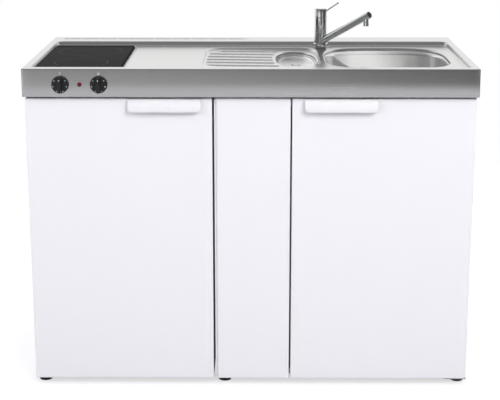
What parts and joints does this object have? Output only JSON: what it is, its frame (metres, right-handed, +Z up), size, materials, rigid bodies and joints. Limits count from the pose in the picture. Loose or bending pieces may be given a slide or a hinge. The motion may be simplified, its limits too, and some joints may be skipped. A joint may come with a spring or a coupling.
{
  "type": "kitchenette unit with sink and hob",
  "caption": "Kitchenette unit: pressed stainless worktop with glass hob, ribbed drainer, sink bowls and lever tap, over a built-under fridge and a hinged sink cupboard.",
  "frame": {"origin": "on the floor under the middle of the unit's outline, knobs included", "axes": "+X to the viewer's right along the worktop, +Y towards the wall, +Z up"},
  "size_m": [1.2, 0.624, 1.0165],
  "materials": {
    "stainless": "satin",
    "galvanised": "satin",
    "chrome": "polished",
    "white_enamel": "satin",
    "white_plastic": "satin",
    "handle_plastic": "satin",
    "clear_plastic": "gloss",
    "black_plastic": "satin",
    "grey_plastic": "satin",
    "rubber": "matte",
    "black_glass": "polished",
    "red_lens": "gloss",
    "insulator": "matte",
    "black_steel": "satin",
    "aluminium": "satin"
  },
  "bodies": {
    "unit": {"worktop": "stainless", "main_bowl": "stainless", "waste_bowl": "stainless", "bowl_drain": "stainless", "bottle_trap": "white_plastic", "waste_link_pipe": "white_plastic", "fridge_top_frame": "galvanised", "worktop_rail_right": "galvanised", "hob_glass": "black_glass", "hob_tray": "galvanised", "heater_front": "insulator", "heater_rear": "insulator", "regulator_left": "insulator", "regulator_right": "insulator", "pilot_lamp": "red_lens", "tap_base": "chrome", "fridge_casing": "white_enamel", "fridge_liner": "white_plastic", "fridge_shelf_lower": "clear_plastic", "fridge_shelf_upper": "clear_plastic", "freezer_box": "aluminium", "thermostat_housing": "white_plastic", "compressor": "black_steel", "condenser_grid": "black_steel", "fridge_hinge_top": "galvanised", "fridge_hinge_bottom": "galvanised", "fridge_foot_left": "black_plastic", "fridge_foot_right": "black_plastic", "cabinet_side_left": "white_enamel", "cabinet_side_right": "white_enamel", "cabinet_floor": "white_enamel", "cabinet_back": "white_enamel", "cabinet_front_rail": "white_enamel", "front_panel": "white_enamel", "magnet_catch": "grey_plastic", "sink_hinge_top": "galvanised", "sink_hinge_bottom": "galvanised", "cabinet_foot_front_left": "black_plastic", "cabinet_foot_rear_left": "black_plastic", "cabinet_foot_front_right": "black_plastic", "cabinet_foot_rear_right": "black_plastic"},
    "fridge_door": {"fridge_door_shell": "white_enamel", "fridge_door_liner": "white_plastic", "fridge_door_gasket": "rubber", "fridge_door_rack": "clear_plastic", "fridge_door_shelf": "clear_plastic", "fridge_handle": "handle_plastic"},
    "sink_door": {"sink_door_skin": "white_enamel", "sink_door_backing": "white_enamel", "sink_handle": "handle_plastic"},
    "freezer_flap": {"freezer_flap": "clear_plastic"},
    "thermostat_knob": {"thermostat_knob": "grey_plastic"},
    "knob_left": {"knob_left": "black_plastic"},
    "knob_right": {"knob_right": "black_plastic"},
    "spout": {"tap_spout": "chrome", "tap_aerator": "chrome"},
    "mixer_stem": {"tap_cartridge_stem": "chrome"},
    "mixer_lever": {"tap_cap": "chrome", "tap_lever": "chrome"},
    "strainer_basket": {"strainer_basket": "stainless"}
  },
  "joints": [
    {"name": "fridge_door_hinge", "type": "hinge", "parent": "unit", "child": "fridge_door", "pos_m": [-0.585, -0.243, 0.415], "axis": [0, 0, -1], "range_deg": [0, 110]},
    {"name": "sink_door_hinge", "type": "hinge", "parent": "unit", "child": "sink_door", "pos_m": [0.589, -0.259, 0.415], "axis": [0, 0, 1], "range_deg": [0, 100]},
    {"name": "freezer_flap_hinge", "type": "hinge", "parent": "unit", "child": "freezer_flap", "pos_m": [-0.349, -0.135, 0.757], "axis": [-1, 0, 0], "range_deg": [0, 90]},
    {"name": "thermostat_turn", "type": "hinge", "parent": "unit", "child": "thermostat_knob", "pos_m": [-0.164, -0.173, 0.59], "axis": [0, 1, 0], "range_deg": [0, 280]},
    {"name": "knob_left_turn", "type": "hinge", "parent": "unit", "child": "knob_left", "pos_m": [-0.498, -0.288, 0.8485], "axis": [0, 1, 0], "range_deg": [0, 280]},
    {"name": "knob_right_turn", "type": "hinge", "parent": "unit", "child": "knob_right", "pos_m": [-0.397, -0.288, 0.8485], "axis": [0, 1, 0], "range_deg": [0, 280]},
    {"name": "spout_swivel", "type": "hinge", "parent": "unit", "child": "spout", "pos_m": [0.204, 0.186, 0.9], "axis": [0, 0, 1], "range_deg": [-115, 60]},
    {"name": "mixer_turn", "type": "hinge", "parent": "unit", "child": "mixer_stem", "pos_m": [0.204, 0.186, 0.97], "axis": [0, 0, 1], "range_deg": [-50, 50]},
    {"name": "lever_tilt", "type": "hinge", "parent": "mixer_stem", "child": "mixer_lever", "pos_m": [0.1908, 0.1997, 0.96845], "axis": [-0.7193, -0.6947, 0], "range_deg": [0, 22]},
    {"name": "basket_lift", "type": "slide", "parent": "unit", "child": "strainer_basket", "axis": [0, 0, 1], "range_m": [0, 0.012]}
  ]
}
